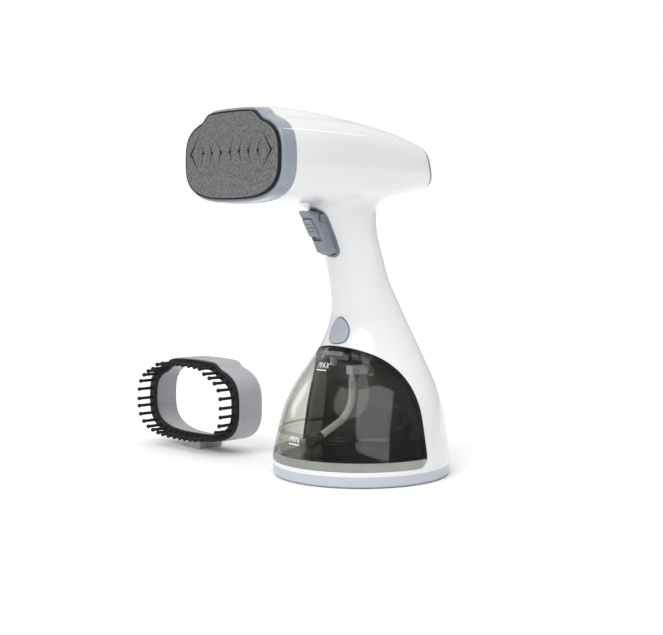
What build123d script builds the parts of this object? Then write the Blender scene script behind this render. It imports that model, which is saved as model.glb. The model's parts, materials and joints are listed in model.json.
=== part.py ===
from build123d import *
import os
from math import copysign, cos, hypot, pi, sin

# Handheld garment steamer with a removable water tank and a clip-on pin brush.
# Millimetres, +Z up, origin at the centre of the base's underside.
# The steam plate faces -Y, and the steamer is symmetric about the plane X = 0.

os.makedirs("parts", exist_ok=True)

# ---------------------------------------------------------------- driving dimensions
WALL = 2.4  # moulded housing
TANK_WALL = 2.0
GAP = 0.35  # between pieces that move apart
SHUT_LINE = 0.4  # the bezel and the rear panel stand this far inside the housing skin

BASE_R = 65.0
BASE_TOP = 8.1
PAD_R = 56.0
RING_FOOT = 0.6  # the base ring stays this far above the table

TANK_FLOOR = 11.8
TANK_FLOOR_THICK = 6.0
TANK_SEAM = 32.0
TANK_CORNER = 8.0
TANK_REAR_INSET = 7.0  # the tank's rear part slips inside the housing by this margin
SEAL_WIDTH = 1.2

BLEND_R = 14.0  # between the handle and the head
HEAD_JOINT = 188.0  # the head shells stand on the handle shells at this height

BEZEL_FRONT = -122.0
BEZEL_BACK = -110.6
BEZEL_RIM = 2.4
BEZEL_FLOOR = -114.0  # the gasket sits on the bezel's inner step here
TONGUE_BACK = -101.0  # the bezel's tongue reaches this far into the head
GASKET_RIM = 3.35
GASKET_FRONT = -124.3
PLATE_FRONT = -124.85
PLATE_BACK = -121.5
CHAMBER_BACK = -94.0
HOLE_Z = 231.0
HOLE_PITCH = 9.6
HOLE_R = 1.3

PANEL_TOP = (44.5, 243.0)  # rear panel, (y, z)
PANEL_FOOT = (54.0, 212.0)
PANEL_THICK = 2.6

TRIGGER_HALF = 6.4
TRIGGER_PIVOT = (-40.0, 188.0)
SLOT_HALF = 6.8
SLOT_LOW = 160.6
SLOT_HIGH = 192.8
SURROUND_RIM = 1.4
SURROUND_PROUD = 1.2

BUTTON_HALF = 9.4
BUTTON_LOW = 96.8
BUTTON_HIGH = 115.2
BUTTON_PROUD = 0.9

PUMP_Y = 37.0
PUMP_R = 12.0
SOCKET_Z = 76.0

BRUSH_X = -169.0
BRUSH_Y = -13.0
BRUSH_HALF = 58.0
BRUSH_FOOT = 7.0
BRUSH_HEIGHT = 63.0
BRUSH_DEPTH = 23.0
PIN_COUNT = 40
PIN_LENGTH = 13.0

# Sections of the base, bell and handle: height, centre y, half-width x, half-depth y
STEM = [
    (BASE_TOP, 0.0, 65.0, 65.0),
    (22, 0.3, 64.2, 64.2),
    (42, 1.6, 60.5, 60.5),
    (62, 3.4, 54.0, 54.0),
    (79, 6.4, 44.6, 44.6),
    (97, 8.4, 34.8, 34.8),
    (115, 6.4, 27.8, 27.8),
    (133, 1.0, 23.5, 23.5),
    (150, -5.0, 21.6, 21.6),
    (168, -11.5, 21.4, 21.6),
    (180, -16.0, 21.6, 23.0),
    (190, -19.0, 22.0, 26.0),
    (200, -22.0, 23.0, 31.0),
    (214, -24.0, 24.0, 37.0),
    (230, -24.0, 24.0, 39.0),
]
# Sections of the head: y, half-width, underside z, top z, height of the raised crown
HEAD = [
    (-127, 51.6, 197.0, 261.2, 4.6),
    (-108, 51.7, 196.6, 261.6, 4.6),
    (-75, 48.5, 196.4, 261.3, 3.4),
    (-38, 42.0, 198.0, 258.6, 1.2),
    (0, 35.5, 201.0, 253.6, 0.0),
    (30, 29.5, 205.0, 247.8, 0.0),
    (66, 21.5, 211.5, 239.0, 0.0),
]
HEAD_ROUNDNESS = 3.0
CROWN_SHARE = 0.63
CROWN_SHOULDER = 10.0

# Visible edge between the tank and the housing, and the tank's deeper rear wall: (y, z)
ARCH = [
    (0.0, 50.0),
    (-0.6, 58.0),
    (-2.4, 67.5),
    (-5.8, 75.6),
    (-10.2, 81.8),
    (-16.5, 87.4),
    (-27.0, 93.2),
    (-40.0, 98.5),
]
TANK_REAR = [(13.0, 45.0), (10.6, 60.0), (2.4, 79.0), (-9.0, 86.0), (-22.0, 86.0)]


# ---------------------------------------------------------------- shared shapes
def power(value, exponent):
    return copysign(abs(value) ** exponent, value)


def smooth(share):
    share = min(1.0, max(0.0, share))
    return share * share * (3 - 2 * share)


def head_outline(half, low, high, crown, inset, count=48):
    """Rounded oblong with a raised crown on its top, as (x, z) points."""
    middle = (low + high - crown) / 2
    rise = (high - crown - low) / 2 - inset
    points = []
    for index in range(count):
        angle = 2 * pi * (index + 0.5) / count
        x = (half - inset) * power(cos(angle), 2 / HEAD_ROUNDNESS)
        z = middle + rise * power(sin(angle), 2 / HEAD_ROUNDNESS)
        if z > middle:
            z += crown * smooth((CROWN_SHARE * half - abs(x)) / CROWN_SHOULDER)
        points.append((x, z))
    return points


def stem(inset):
    """The bell and handle, drawn in by inset all round."""
    with BuildPart() as solid:
        for height, centre, half_x, half_y in STEM:
            with BuildSketch(Plane.XY.offset(height)):
                with BuildLine():
                    Spline(
                        *[
                            ((half_x - inset) * cos(turn), centre + (half_y - inset) * sin(turn))
                            for turn in (pi * k / 10 for k in range(20))
                        ],
                        periodic=True,
                    )
                make_face()
        loft()
    return solid.part


def head(inset):
    """The whole head, drawn in by inset all round."""
    with BuildPart() as solid:
        for y, half, low, high, crown in HEAD:
            with BuildSketch(Plane.XZ.offset(-y)):
                with BuildLine():
                    Spline(*head_outline(half, low, high, crown, inset), periodic=True)
                make_face()
        loft()
    return solid.part


def envelope(inset):
    """Handle and head as one skin, with a soft blend under the head."""
    with BuildPart() as solid:
        add(stem(inset))
        add(head(inset))
        joint = (
            solid.edges()
            .filter_by(lambda e: e.length > 100)
            .filter_by(lambda e: e.bounding_box().max.Z < 240 and e.bounding_box().min.Z > 190)
            .filter_by(lambda e: e.bounding_box().size.Y > 40)
        )
        fillet(joint, BLEND_R + inset)
    return solid.part


def face_outline(inset):
    """The head's front outline at the bezel, drawn in by inset."""
    return head_outline(51.6, 196.8, 261.2, 4.6, inset, count=64)


def front_slab(inset, y_front, y_back):
    """A slab with the head's front outline."""
    with BuildPart() as slab:
        with BuildSketch(Plane.XZ.offset(-y_back)):
            with BuildLine():
                Spline(*face_outline(inset), periodic=True)
            make_face()
        extrude(amount=y_back - y_front)
    return slab.part


def shifted(points, grow):
    """An open line of points moved sideways by grow, away from the tank."""
    moved = []
    for index, (y, z) in enumerate(points):
        before = points[max(0, index - 1)]
        after = points[min(len(points) - 1, index + 1)]
        length = hypot(after[0] - before[0], after[1] - before[1])
        moved.append((y + grow * (after[1] - before[1]) / length, z - grow * (after[0] - before[0]) / length))
    return moved


def arch_block(grow, floor=TANK_FLOOR):
    """Everything in front of the arch, over the full width."""
    edge = shifted(ARCH, grow)
    corner = TANK_CORNER + grow
    back = edge[0][0]
    with BuildPart() as block:
        with BuildSketch(Plane.YZ):
            with BuildLine():
                Spline(*edge, tangents=[(0, 1), (-0.92, 0.38)])
                Polyline(edge[-1], (-90, edge[-1][1]), (-90, floor), (back - corner, floor))
                RadiusArc((back - corner, floor), (back, floor + corner), -corner)
                Line((back, floor + corner), edge[0])
            make_face()
        extrude(amount=90, both=True)
    return block.part


def rear_block(grow, floor=TANK_FLOOR):
    """The deeper middle of the tank, behind the arch."""
    edge = shifted(TANK_REAR, grow)
    back = edge[0][0]
    with BuildPart() as block:
        with BuildSketch(Plane.YZ):
            with BuildLine():
                Spline(*edge[:4], tangents=[(0, 1), (-1, 0.25)])
                Polyline(edge[3], edge[4], (-22, floor), (back, floor), edge[0])
            make_face()
        extrude(amount=90, both=True)
    return block.part


def cut_round(y, z, radius, x_from, x_to):
    """A rod along X."""
    with BuildPart() as rod:
        with BuildSketch(Plane.YZ.offset(x_from)):
            with Locations((y, z)):
                Circle(radius)
        extrude(amount=x_to - x_from)
    return rod.part


def coil(plane, radius, wire, pitch, height):
    """A wire spring along the plane's normal."""
    with BuildPart() as spring:
        with BuildLine() as path:
            Helix(pitch, height, radius)
        with BuildSketch(Plane(path.line @ 0, z_dir=path.line % 0)):
            Circle(wire)
        sweep()
    return plane.location * spring.part


def hose(points, radii, outer, inner=0.0):
    """A round tube along straight runs joined by arcs, all in the plane X = 0."""
    with BuildPart() as tube:
        with BuildLine() as route:
            FilletPolyline(*points, radius=radii)
        with BuildSketch(Plane(route.line @ 0, z_dir=route.line % 0)):
            Circle(outer)
            if inner:
                Circle(inner, mode=Mode.SUBTRACT)
        sweep()
    return tube.part


def save(builder, name):
    """Labels a finished piece and writes it."""
    builder.part.label = name
    export_step(builder.part, f"parts/{name}.step")


# ---------------------------------------------------------------- housing
skin = envelope(0.0)
lining = envelope(WALL)
proud_skin = envelope(-SURROUND_PROUD)

panel_run = Vector(0, PANEL_FOOT[0] - PANEL_TOP[0], PANEL_FOOT[1] - PANEL_TOP[1])
panel_normal = Vector(1, 0, 0).cross(panel_run).normalized()
panel_plane = Plane(
    origin=(0, (PANEL_TOP[0] + PANEL_FOOT[0]) / 2, (PANEL_TOP[1] + PANEL_FOOT[1]) / 2),
    x_dir=(1, 0, 0),
    z_dir=panel_normal,
)


def behind_panel(depth):
    """Everything behind the rear panel's plane, starting depth inside it."""
    with BuildPart() as block:
        with BuildSketch(panel_plane.offset(-depth)):
            Rectangle(90, 90)
        extrude(amount=60)
    return block.part


def button_block(grow, y_back):
    """The release button's outline, arched on top, swept back to y_back."""
    half = BUTTON_HALF + grow
    with BuildPart() as block:
        with BuildSketch(Plane.XZ.offset(-y_back)):
            with BuildLine():
                Spline(
                    (-half * 0.86, BUTTON_LOW + 1.6 - grow),
                    (-half, BUTTON_LOW + 6.5),
                    (-half * 0.72, BUTTON_HIGH - 4.2 + grow * 0.7),
                    (0, BUTTON_HIGH + grow),
                    (half * 0.72, BUTTON_HIGH - 4.2 + grow * 0.7),
                    (half, BUTTON_LOW + 6.5),
                    (half * 0.86, BUTTON_LOW + 1.6 - grow),
                )
                ThreePointArc(
                    (half * 0.86, BUTTON_LOW + 1.6 - grow),
                    (0, BUTTON_LOW - grow),
                    (-half * 0.86, BUTTON_LOW + 1.6 - grow),
                )
            make_face()
        extrude(amount=60)
    return block.part


def slot_block(grow):
    """The trigger's slot, swept forward through the handle's front wall."""
    with BuildPart() as block:
        with BuildSketch(Plane.XZ.offset(22)):
            with Locations((0, (SLOT_LOW + SLOT_HIGH) / 2)):
                RectangleRounded(2 * (SLOT_HALF + grow), SLOT_HIGH - SLOT_LOW + 2 * grow, 5 + grow)
        extrude(amount=38)
    return block.part


BOSSES = [(-8.0, 128.0), (-17.0, 148.0), (-72.0, 208.0), (24.0, 212.0), (54.5, 30.0)]
POST_RING = 50.0
POST_ANGLES = [45, 135]
BOSS_R = 3.4
SCREW_R = 1.5
SCREW_TIP = 8.0

with BuildPart() as posts:
    for angle in POST_ANGLES:
        with Locations(Rot(0, 0, angle) * Pos(POST_RING, 0, 11.8)):
            Cylinder(3.2, 12.4)
        with Locations(Rot(0, 0, angle) * Pos(POST_RING + 7, 0, 13)):
            Box(16, 2, 9)
    add(stem(WALL - 0.6), mode=Mode.INTERSECT)

with BuildPart() as housing:
    add(skin)
    add(lining, mode=Mode.SUBTRACT)
    for boss_y, boss_z in BOSSES:
        rod = cut_round(boss_y, boss_z, BOSS_R, -64, 64) & envelope(WALL - 0.6)
        add(rod)
    add(posts.part)
    with Locations((0, BEZEL_BACK + GAP / 2 - 30, 230)):
        Box(140, 60, 140, mode=Mode.SUBTRACT)
    add(behind_panel(PANEL_THICK + 0.3), mode=Mode.SUBTRACT)
    add(arch_block(SEAL_WIDTH + GAP, TANK_FLOOR - GAP), mode=Mode.SUBTRACT)
    add(slot_block(SURROUND_RIM), mode=Mode.SUBTRACT)
    add(button_block(GAP, -6), mode=Mode.SUBTRACT)
    with Locations(Location((0, 58, 20), (90, 0, 0))):
        Cylinder(5.2, 30, mode=Mode.SUBTRACT)
    for boss_y, boss_z in BOSSES:
        add(cut_round(boss_y, boss_z, SCREW_R + 0.05, -70, SCREW_TIP + 0.5), mode=Mode.SUBTRACT)
    for angle in POST_ANGLES:
        with Locations(Rot(0, 0, angle) * Pos(POST_RING, 0, 7)):
            Cylinder(SCREW_R + 0.05, 6, mode=Mode.SUBTRACT)


# Left and right mouldings of the head and of the handle, and the sill under the tank's front.
# Each is cut out of the housing by a box: name, centre and size.
SILL_TOP = TANK_FLOOR - GAP
SHELLS = [
    ("head_right", (100, 0, HEAD_JOINT + 50), (200, 300, 100)),
    ("head_left", (-100, 0, HEAD_JOINT + 50), (200, 300, 100)),
    ("housing_right", (100, 0, HEAD_JOINT - 100), (200, 300, 200)),
    ("housing_left", (-100, 0, HEAD_JOINT - 100), (200, 300, 200)),
    ("bay_sill", (0, -50, SILL_TOP - 50), (200, 100, 100)),
]
for name, centre, size in SHELLS:
    with BuildPart() as shell:
        add(housing.part)
        with Locations(centre):
            Box(*size, mode=Mode.INTERSECT)
        if name.startswith("housing"):
            with Locations((0, -50, SILL_TOP - 50)):
                Box(200, 100, 100, mode=Mode.SUBTRACT)
        if name.endswith("left"):
            for boss_y, boss_z in BOSSES:
                add(cut_round(boss_y, boss_z, 2 * SCREW_R + 0.1, -70, -SCREW_TIP), mode=Mode.SUBTRACT)
    save(shell, name)

with BuildPart() as housing_screws:
    for boss_y, boss_z in BOSSES:
        add(cut_round(boss_y, boss_z, SCREW_R, -SCREW_TIP, SCREW_TIP))
        add(cut_round(boss_y, boss_z, 1.9 * SCREW_R, -SCREW_TIP - 2, -SCREW_TIP))
save(housing_screws, "housing_screws")

# ---------------------------------------------------------------- head front
with BuildPart() as front_bezel:
    add(front_slab(SHUT_LINE, BEZEL_FRONT, BEZEL_BACK))
    front_rim = front_bezel.edges().filter_by(lambda e: abs(e.center().Y - BEZEL_FRONT) < 0.01)
    fillet(front_rim, 1.2)
    add(front_slab(BEZEL_RIM, BEZEL_FRONT - 5, BEZEL_FLOOR), mode=Mode.SUBTRACT)
    add(front_slab(3.5, BEZEL_BACK, TONGUE_BACK))
    add(front_slab(5.0, BEZEL_FLOOR - 2, TONGUE_BACK), mode=Mode.SUBTRACT)
save(front_bezel, "front_bezel")

with BuildPart() as plate_gasket:
    add(front_slab(BEZEL_RIM + 0.02, GASKET_FRONT, BEZEL_FLOOR))
    add(front_slab(GASKET_RIM, GASKET_FRONT - 5, BEZEL_FLOOR + 5), mode=Mode.SUBTRACT)
save(plate_gasket, "plate_gasket")

with BuildPart() as steam_plate:
    add(front_slab(GASKET_RIM + 0.05, PLATE_FRONT, PLATE_BACK))
    plate_rim = steam_plate.edges().filter_by(lambda e: abs(e.center().Y - PLATE_FRONT) < 0.01)
    fillet(plate_rim, 1.0)
    for step in range(-3, 4):
        with Locations(Location((step * HOLE_PITCH, PLATE_FRONT + 5, HOLE_Z), (90, 0, 0))):
            Cylinder(HOLE_R, 30, mode=Mode.SUBTRACT)
        side = 1 if step >= 0 else -1
        foot = step * HOLE_PITCH
        for rise in (10.0, -10.0):
            with BuildSketch(Plane.XZ.offset(-PLATE_FRONT)):
                with BuildLine():
                    Polyline(
                        (foot - 0.5, HOLE_Z),
                        (foot + side * 3.4, HOLE_Z + rise),
                        (foot + 0.7, HOLE_Z),
                        close=True,
                    )
                make_face()
            extrude(amount=-0.6, mode=Mode.SUBTRACT)
    for side in (-1, 1):
        for rise in (13.5, -13.5):
            with BuildSketch(Plane.XZ.offset(-PLATE_FRONT)):
                with BuildLine():
                    Polyline(
                        (side * 43.6, HOLE_Z),
                        (side * 32.5, HOLE_Z + rise),
                        (side * 41.2, HOLE_Z),
                        close=True,
                    )
                make_face()
            extrude(amount=-0.6, mode=Mode.SUBTRACT)
save(steam_plate, "steam_plate")

with BuildPart() as steam_chamber:
    add(front_slab(6.0, PLATE_BACK, CHAMBER_BACK))
    with Locations((0, CHAMBER_BACK - 6, 229)):
        Box(66, 14, 38, mode=Mode.SUBTRACT)
    for step in range(-3, 4):
        with Locations(Location((step * HOLE_PITCH, -110, HOLE_Z), (90, 0, 0))):
            Cylinder(HOLE_R, 30, mode=Mode.SUBTRACT)
save(steam_chamber, "steam_chamber")

with BuildPart() as chamber_cover:
    add(front_slab(10.0, CHAMBER_BACK, CHAMBER_BACK + 3))
    with Locations(Location((0, CHAMBER_BACK + 1, 236), (90, 0, 0))):
        Cylinder(3.0, 30, mode=Mode.SUBTRACT)
save(chamber_cover, "chamber_cover")

with BuildPart() as heating_element:
    with BuildLine(Plane.XZ.offset(102)) as route:
        FilletPolyline((-26, 216), (26, 216), (26, 243), (-26, 243), (-26, 224), radius=7)
    with BuildSketch(Plane(route.line @ 0, z_dir=route.line % 0)):
        Circle(3.0)
    sweep()
save(heating_element, "heating_element")

with BuildPart() as heat_shield:
    add(front_slab(4.8, -92.0 + 1.5, -88.0))
    with Locations(Location((0, -90, 236), (90, 0, 0))):
        Cylinder(9.0, 30, mode=Mode.SUBTRACT)
    with Locations((-20, -90, 234), (22, -90, 234)):
        Box(16, 20, 16, mode=Mode.SUBTRACT)
save(heat_shield, "heat_shield")

with BuildPart() as steam_inlet_nozzle:
    with Locations(Location((0, -91, 236), (90, 0, 0))):
        Cylinder(2.9, 12)
    with Locations(Location((0, -86, 236), (90, 0, 0))):
        Cylinder(5.5, 3)
    with Locations(Location((0, -79, 236), (90, 0, 0))):
        Cylinder(1.9, 12)
    with Locations(Location((0, -86, 236), (90, 0, 0))):
        Cylinder(1.2, 40, mode=Mode.SUBTRACT)
save(steam_inlet_nozzle, "steam_inlet_nozzle")

with BuildPart() as thermostat:
    with Locations(Location((22, -88.4, 234), (90, 0, 0))):
        Cylinder(7, 5.2)
    with Locations(Location((22, -83.8, 234), (90, 0, 0))):
        Cylinder(4, 4)
save(thermostat, "thermostat")

with BuildPart() as thermal_fuse:
    with Locations(Location((-20, -88.5, 234), (0, 90, 0))):
        Cylinder(2.5, 13)
    with Locations((-20, -90.9, 234)):
        Box(4, 0.2, 4)
save(thermal_fuse, "thermal_fuse")

with BuildPart() as rear_panel:
    add(head(SHUT_LINE) & behind_panel(PANEL_THICK))
    add(behind_panel(0.0), mode=Mode.SUBTRACT)
    with Locations(panel_plane.location):
        Cylinder(2.5, 20, mode=Mode.SUBTRACT)
save(rear_panel, "rear_panel")

with BuildPart() as indicator_lens:
    with BuildSketch(panel_plane.offset(-PANEL_THICK - 3)):
        Circle(2.45)
    extrude(amount=PANEL_THICK + 3.5)
save(indicator_lens, "indicator_lens")

with BuildPart() as control_board:
    with Locations((0, 14, 229)):
        Box(34, 44, 1.6)
save(control_board, "control_board")

with BuildPart() as board_parts:
    with Locations((-8, 2, 229.8 + 6)):
        Box(14, 12, 12)
    with Locations((9, 4, 229.8 + 5)):
        Cylinder(5, 10)
    with Locations((-8, 22, 229.8 + 2)):
        Box(8, 12, 4)
    with Locations((8, 26, 229.8 + 3)):
        Box(12, 6, 6)
save(board_parts, "board_parts")

# ---------------------------------------------------------------- trigger
TRIGGER_FRONT = [
    (-58.8, 192.6),
    (-54.4, 186.6),
    (-50.9, 182.0),
    (-45.8, 173.9),
    (-41.2, 165.2),
    (-40.0, 162.8),
]

with BuildPart() as trigger:
    with BuildSketch(Plane.YZ):
        with BuildLine():
            Spline(*TRIGGER_FRONT)
            RadiusArc((-40.0, 162.8), (-36.6, 160.9), 4)
            Polyline(
                (-36.6, 160.9),
                (-28.0, 162.4),
                (-33.5, 175.0),
                (-36.2, 184.0),
                (-36.2, 193.2),
                (-55.0, 194.0),
                (-58.8, 192.6),
            )
        make_face()
    extrude(amount=TRIGGER_HALF, both=True)
    add(slot_block(-GAP), mode=Mode.INTERSECT)
    front_sides = trigger.edges().filter_by(
        lambda e: abs(abs(e.center().X) - TRIGGER_HALF) < 0.01 and e.center().Y < -40 and e.length > 20
    )
    fillet(front_sides, 2.0)
    lock_run = Vector(0, TRIGGER_FRONT[4][0] - TRIGGER_FRONT[1][0], TRIGGER_FRONT[4][1] - TRIGGER_FRONT[1][1])
    lock_plane = Plane(
        origin=(0, TRIGGER_FRONT[1][0], TRIGGER_FRONT[1][1]),
        x_dir=(1, 0, 0),
        z_dir=lock_run.cross(Vector(1, 0, 0)).normalized(),
    )
    with BuildSketch(lock_plane.offset(-2.6)):
        with Locations((0, -9.2)):
            Rectangle(9.2, 19.4)
    extrude(amount=12, mode=Mode.SUBTRACT)
    add(cut_round(TRIGGER_PIVOT[0], TRIGGER_PIVOT[1], 1.56, -12, 12), mode=Mode.SUBTRACT)
    with Locations((0, TRIGGER_PIVOT[0] + 2, TRIGGER_PIVOT[1])):
        Box(7, 14, 12, mode=Mode.SUBTRACT)
save(trigger, "trigger")

with BuildPart() as trigger_lock:
    with BuildSketch(lock_plane.offset(-2.4)):
        with Locations((0, -7.0)):
            RectangleRounded(8.6, 14.0, 1)
    extrude(amount=3.6)
    for ridge in range(3):
        with BuildSketch(lock_plane.offset(1.2)):
            with Locations((0, -4.4 - 3.0 * ridge)):
                RectangleRounded(6.8, 1.1, 0.5)
        extrude(amount=0.7)
save(trigger_lock, "trigger_lock")

with BuildPart() as trigger_surround:
    add(slot_block(SURROUND_RIM - GAP / 2) & proud_skin)
    add(slot_block(0), mode=Mode.SUBTRACT)
    add(lining, mode=Mode.SUBTRACT)
    for side in (-1, 1):
        with Locations((side * (SLOT_HALF + 0.575), TRIGGER_PIVOT[0] - 2.5, TRIGGER_PIVOT[1] - 0.6)):
            Box(0.85, 12, 5.2)
    add(cut_round(TRIGGER_PIVOT[0], TRIGGER_PIVOT[1], 1.5, -12, 12), mode=Mode.SUBTRACT)
save(trigger_surround, "trigger_surround")

with BuildPart() as trigger_pin:
    add(cut_round(TRIGGER_PIVOT[0], TRIGGER_PIVOT[1], 1.5, -SLOT_HALF - 1.0, SLOT_HALF + 1.0))
save(trigger_pin, "trigger_pin")

with BuildPart() as trigger_spring:
    add(coil(Plane(origin=(-2.6, *TRIGGER_PIVOT), z_dir=(1, 0, 0)), 2.4, 0.35, 1.1, 5.2))
save(trigger_spring, "trigger_spring")

SWITCH_Z = 172.0
with BuildPart() as micro_switch:
    with Locations((0, -17.0, SWITCH_Z - 2)):
        Box(6.4, 10.0, 20.0)
    with Locations(Location((0, -19.0, SWITCH_Z), (90, 0, 0))):
        Cylinder(1.55, 8, mode=Mode.SUBTRACT)
save(micro_switch, "micro_switch")

with BuildPart() as switch_bracket:
    with Locations((0, -11.0, SWITCH_Z - 2)):
        Box(35.4, 2.0, 22.0)
save(switch_bracket, "switch_bracket")

with BuildPart() as switch_plunger:
    with Locations(Location((0, -25.5, SWITCH_Z), (90, 0, 0))):
        Cylinder(1.5, 11.4)
save(switch_plunger, "switch_plunger")

# ---------------------------------------------------------------- release button
with BuildPart() as release_button:
    add(button_block(0.0, -17) & stem(-BUTTON_PROUD))
    with Locations(Location((0, -15, 107), (90, 0, 0))):
        Cylinder(2.0, 8)
save(release_button, "release_button")

with BuildPart() as release_latch:
    with Locations((0, -15.9, 97.5)):
        Box(9, 1.9, 9.5)
    with Locations((0, -17.4, 93.6)):
        Box(9, 4.9, 1.6)
save(release_latch, "release_latch")

with BuildPart() as button_spring:
    add(coil(Plane(origin=(0, -16.4, 107), z_dir=(0, 1, 0)), 3.4, 0.4, 2.2, 9.0))
save(button_spring, "button_spring")

with BuildPart() as button_guide:
    with Locations((0, -5.6, 107)):
        Box(30, 2.0, 14)
    with Locations(Location((0, -6, 107), (90, 0, 0))):
        Cylinder(2.3, 8, mode=Mode.SUBTRACT)
save(button_guide, "button_guide")

# ---------------------------------------------------------------- water tank
def tank_block(skin_inset, wall, floor):
    """The tank's volume: its outer shell drawn in by skin_inset, its back by wall."""
    with BuildPart() as block:
        add(stem(skin_inset) & arch_block(-wall, floor))
        add(stem(TANK_REAR_INSET + wall) & rear_block(-wall, floor))
    return block.part


def level_slab(low, high):
    """A horizontal slab wider than the base."""
    with BuildPart() as slab:
        with Locations((0, 0, (low + high) / 2)):
            Box(200, 200, high - low)
    return slab.part


tank_outside = tank_block(0.0, 0.0, TANK_FLOOR)
tank_inside = tank_block(TANK_WALL, TANK_WALL, TANK_FLOOR + TANK_FLOOR_THICK)
lap_outside = tank_block(TANK_WALL, TANK_WALL, TANK_FLOOR)
lap_inside = tank_block(TANK_WALL + 1.2, TANK_WALL + 1.2, TANK_FLOOR)
PLUG_X = 22.0
PLUG_Z = 41.0
PLUG_R = 7.0

with BuildPart() as tank_shell:
    add(tank_outside)
    add(tank_inside, mode=Mode.SUBTRACT)
    add(level_slab(0, TANK_SEAM), mode=Mode.SUBTRACT)
    with Locations(Location((0, 5, SOCKET_Z), (90, 0, 0))):
        Cylinder(3.6, 22, mode=Mode.SUBTRACT)
    with Locations(Location((PLUG_X, 11, PLUG_Z), (90, 0, 0))):
        Cylinder(PLUG_R, 16, mode=Mode.SUBTRACT)
save(tank_shell, "tank_shell")

with BuildPart() as tank_pan:
    add(tank_outside)
    add(tank_inside, mode=Mode.SUBTRACT)
    add(level_slab(TANK_SEAM, 120), mode=Mode.SUBTRACT)
    add((lap_outside & level_slab(TANK_SEAM - 2.5, TANK_SEAM + 2.0)) - lap_inside)
    with Locations((-14, -44, TANK_FLOOR + TANK_FLOOR_THICK + 4)):
        Box(6, 3, 10)
save(tank_pan, "tank_pan")

with BuildPart() as tank_catch:
    add(stem(TANK_WALL + 0.2) & arch_block(-TANK_WALL - 0.2) & level_slab(80, 95))
    add(arch_block(-TANK_WALL - 3.4), mode=Mode.SUBTRACT)
    with Locations((0, -2, 88)):
        Box(60, 40, 20, mode=Mode.SUBTRACT)
    for side in (-1, 1):
        with Locations((side * 28.5, -30, 88)):
            Box(40, 60, 30, mode=Mode.SUBTRACT)
    with Locations((-3, -25.5, 83.5)):
        Box(4, 3.5, 6)
save(tank_catch, "tank_catch")

TUBE_Y = -9.5
with BuildPart() as tank_outlet:
    with Locations(Location((0, 5.5, SOCKET_Z), (90, 0, 0))):
        Cylinder(3.55, 20)
        Cylinder(1.6, 30, mode=Mode.SUBTRACT)
    with Locations((0, TUBE_Y + 1.2, SOCKET_Z + 0.4)):
        Box(6.4, 8, 6.4)
    with BuildSketch(Plane.XY.offset(SOCKET_Z - 8)):
        with Locations((0, TUBE_Y)):
            Circle(1.65)
    extrude(amount=6)
    with BuildSketch(Plane.YZ.offset(0)):
        with Locations((12.4, SOCKET_Z + 3.2)):
            Rectangle(1.5, 1.0)
    revolve(axis=Axis((0, 0, SOCKET_Z), (0, 1, 0)), mode=Mode.SUBTRACT)
save(tank_outlet, "tank_outlet")

with BuildPart() as outlet_oring:
    with BuildSketch(Plane.YZ):
        with Locations((12.4, SOCKET_Z + 3.45)):
            Circle(0.7)
    revolve(axis=Axis((0, 0, SOCKET_Z), (0, 1, 0)))
save(outlet_oring, "outlet_oring")

TUBE_R = 2.5
TUBE_END = (-42.0, 30.8)
with BuildPart() as suction_tube:
    add(hose([(0, TUBE_Y, SOCKET_Z - 3.7), (0, TUBE_Y, 52), (0, -18.4, 41), (0, *TUBE_END)], [22, 18], TUBE_R, 1.7))
save(suction_tube, "suction_tube")

filter_plane = Plane(origin=(0, TUBE_END[0] + 0.4, TUBE_END[1] + 0.17), z_dir=(0, -23.6, -10.2))
with BuildPart() as suction_filter:
    with BuildSketch(filter_plane):
        Circle(4.2)
    extrude(amount=11)
    with BuildSketch(filter_plane):
        Circle(TUBE_R + 0.03)
    extrude(amount=4, mode=Mode.SUBTRACT)
save(suction_filter, "suction_filter")

with BuildPart() as fill_plug:
    with Locations(Location((PLUG_X, 12.0, PLUG_Z), (90, 0, 0))):
        Cylinder(PLUG_R - 0.02, 3.0)
    with Locations(Location((PLUG_X, 13.9, PLUG_Z), (90, 0, 0))):
        Cylinder(PLUG_R + 1.6, 1.2)
save(fill_plug, "fill_plug")

# ---------------------------------------------------------------- tank bay
LINER_TOP = TANK_FLOOR - 0.6  # the liner's floor, just under the tank
LINER_THICK = 2.2
LINER_FRONT = [
    (-60, LINER_TOP),
    (15.6, LINER_TOP),
    (15.6, 46),
    (13.2, 61),
    (4.9, 80.0),
    (-7.5, 90.5),
    (-16, 91.4),
    (-28, 94.6),
]
LINER_BACK = [
    (-28, 96.2),
    (-15.4, 93.1),
    (-6.3, 92.4),
    (6.9, 81.0),
    (15.4, 61.6),
    (17.8, 46.2),
    (17.8, LINER_TOP - LINER_THICK),
    (-60, LINER_TOP - LINER_THICK),
]

with BuildPart() as bay_liner:
    with BuildSketch(Plane.YZ):
        with BuildLine():
            Polyline(*LINER_FRONT, *LINER_BACK, close=True)
        make_face()
    extrude(amount=90, both=True)
    add(stem(WALL + 0.1), mode=Mode.INTERSECT)
    for angle in POST_ANGLES:
        with Locations(Rot(0, 0, -angle) * Pos(POST_RING, 0, 7.5)):
            Cylinder(3.2, 4.0)
        with Locations(Rot(0, 0, -angle) * Pos(POST_RING, 0, 7)):
            Cylinder(SCREW_R + 0.05, 6, mode=Mode.SUBTRACT)
    with Locations((0, -12, 93)):
        Box(11, 18, 12, mode=Mode.SUBTRACT)
    with Locations(Location((0, 8, SOCKET_Z), (90, 0, 0))):
        Cylinder(6.0, 30, mode=Mode.SUBTRACT)
save(bay_liner, "bay_liner")

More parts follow.
